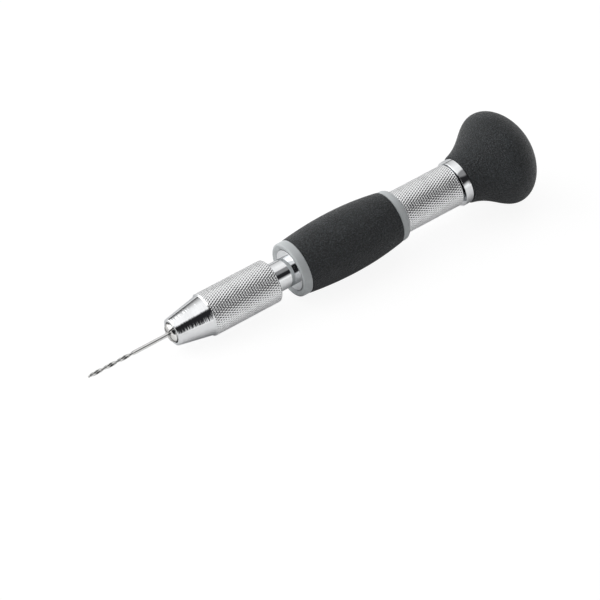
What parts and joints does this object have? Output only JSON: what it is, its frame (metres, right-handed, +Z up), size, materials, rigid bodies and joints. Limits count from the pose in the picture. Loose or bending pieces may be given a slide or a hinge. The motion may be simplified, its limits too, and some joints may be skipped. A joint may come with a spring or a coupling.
{
  "type": "pin vise",
  "caption": "Hand pin vise: chromed knurled collet chuck with a thin twist drill, barrel-shaped rubber grip, knurled tube and a free-turning mushroom palm head.",
  "frame": {"origin": "on the tool's axis, 64.1 mm behind the front face of the chuck cap, at the centre of volume", "axes": "+X along the tool's axis towards the palm head, -X towards the drill, +Z up with the tool lying down"},
  "size_m": [0.1293, 0.0248, 0.0248],
  "materials": {
    "drill_steel": "ground bright steel",
    "collet_steel": "turned spring steel, slightly warm",
    "chuck_chrome": "polished cone, satin knurl",
    "spindle_chrome": "polished chrome",
    "tube_chrome": "satin knurl",
    "grip_grey_plastic": "satin moulded plastic, light grey",
    "grip_rubber": "fine matte grain, charcoal",
    "rear_ring_grey_plastic": "satin moulded plastic, light grey",
    "collar_chrome": "polished chrome",
    "washer_nylon": "plain black",
    "pin_steel": "ground steel",
    "spring_steel": "blackened spring steel",
    "bush_acetal": "natural white",
    "palm_core_plastic": "plain black",
    "palm_rubber": "fine matte grain, charcoal"
  },
  "bodies": {
    "handle": {"spindle": "spindle_chrome", "handle_tube": "tube_chrome", "grip_core": "grip_grey_plastic", "grip_sleeve": "grip_rubber", "grip_rear_ring": "rear_ring_grey_plastic", "spacer_washer": "washer_nylon", "pivot_pin": "pin_steel", "retaining_ring": "spring_steel"},
    "collet": {"collet": "collet_steel"},
    "chuck": {"chuck_cap": "chuck_chrome"},
    "drill": {"drill_bit": "drill_steel"},
    "bush": {"swivel_bush": "bush_acetal"},
    "palm": {"palm_core": "palm_core_plastic", "palm_skin": "palm_rubber", "swivel_collar": "collar_chrome"}
  },
  "joints": [
    {"name": "collet_travel", "type": "slide", "parent": "handle", "child": "collet", "axis": [-1, 0, 0], "range_m": [0, 0.006]},
    {"name": "chuck_turn", "type": "hinge", "parent": "collet", "child": "chuck", "pos_m": [-0.05, 0, 0], "axis": [-1, 0, 0], "range_deg": [0, 2880]},
    {"name": "drill_slide", "type": "slide", "parent": "collet", "child": "drill", "axis": [-1, 0, 0], "range_m": [0, 0.012]},
    {"name": "palm_rock", "type": "hinge", "parent": "handle", "child": "bush", "pos_m": [0.02056, 0, 0], "axis": [0, 1, 0], "range_deg": [0, 8]},
    {"name": "palm_swivel", "type": "hinge", "parent": "bush", "child": "palm", "pos_m": [0.02056, 0, 0], "axis": [0.9976, 0, 0.0698], "continuous": true}
  ],
  "couplings": [
    {"joint": "collet_travel", "follows": "chuck_turn", "m_per_rad": 0.00011936}
  ]
}
